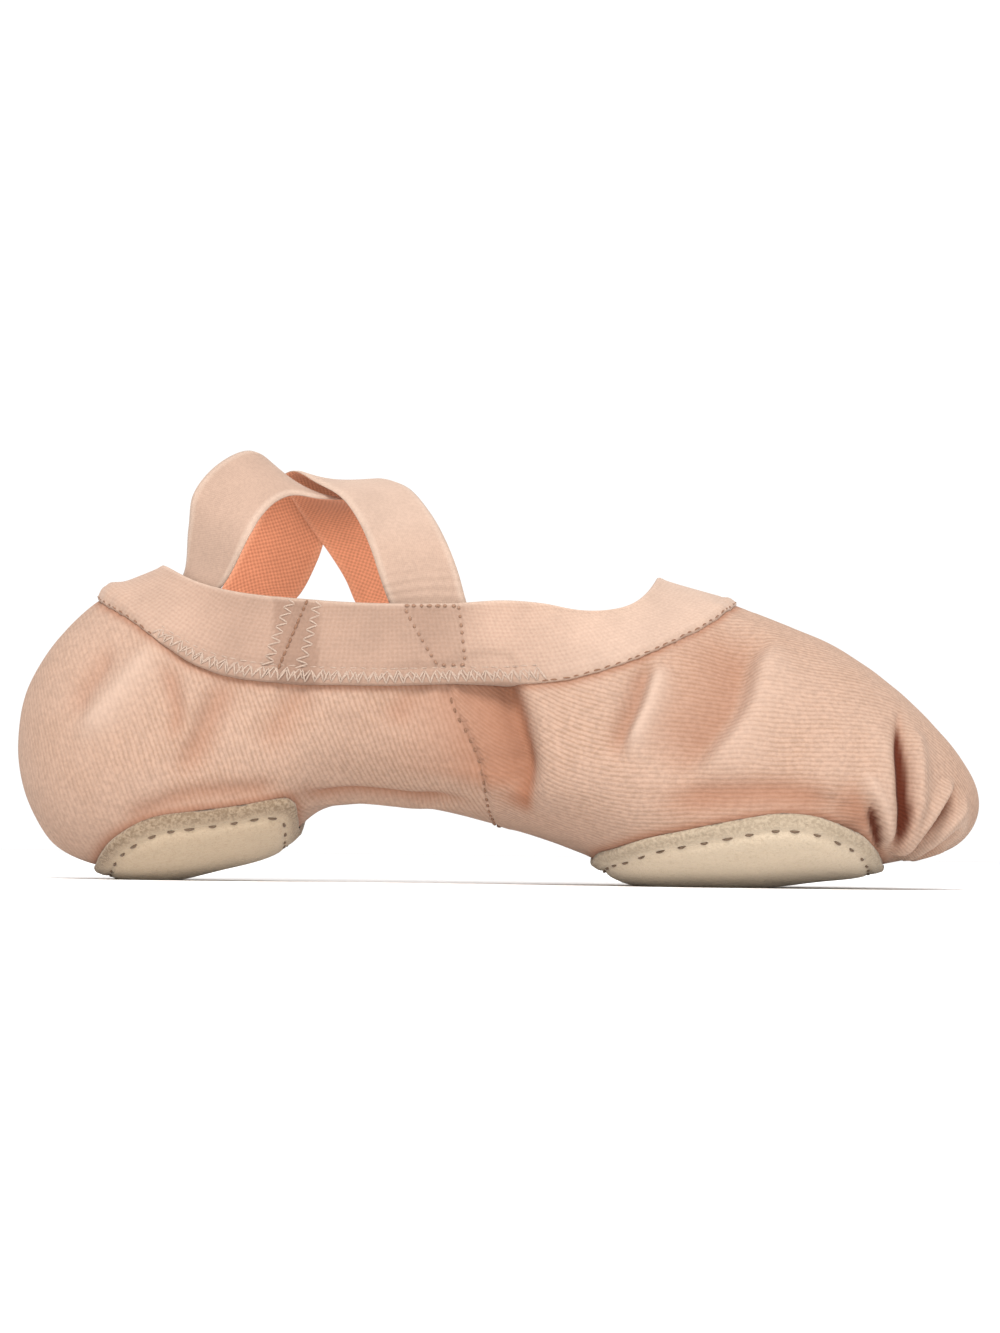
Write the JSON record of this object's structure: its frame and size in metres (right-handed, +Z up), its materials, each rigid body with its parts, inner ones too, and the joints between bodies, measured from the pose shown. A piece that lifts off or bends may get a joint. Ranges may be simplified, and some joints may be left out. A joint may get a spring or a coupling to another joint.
{
  "type": "ballet slipper",
  "caption": "Soft canvas ballet slipper with a split suede sole, a bare arch, an elastic collar band and crossed elastic instep straps.",
  "frame": {"origin": "on the floor, under the middle of the slipper's length and width", "axes": "+X to the toe, +Z up, +Y to the wearer's left"},
  "size_m": [0.235, 0.0732, 0.1057],
  "materials": {
    "canvas": "ribbed matte stretch canvas",
    "suede": "matte napped suede",
    "lining": "plain cotton",
    "elastic": "fine woven elastic"
  },
  "bodies": {
    "root": {"upper": "canvas", "forefoot_sole": "suede", "heel_sole": "suede", "insole": "lining", "collar_band": "elastic", "strap_under": "elastic", "strap_over": "elastic"}
  },
  "joints": []
}
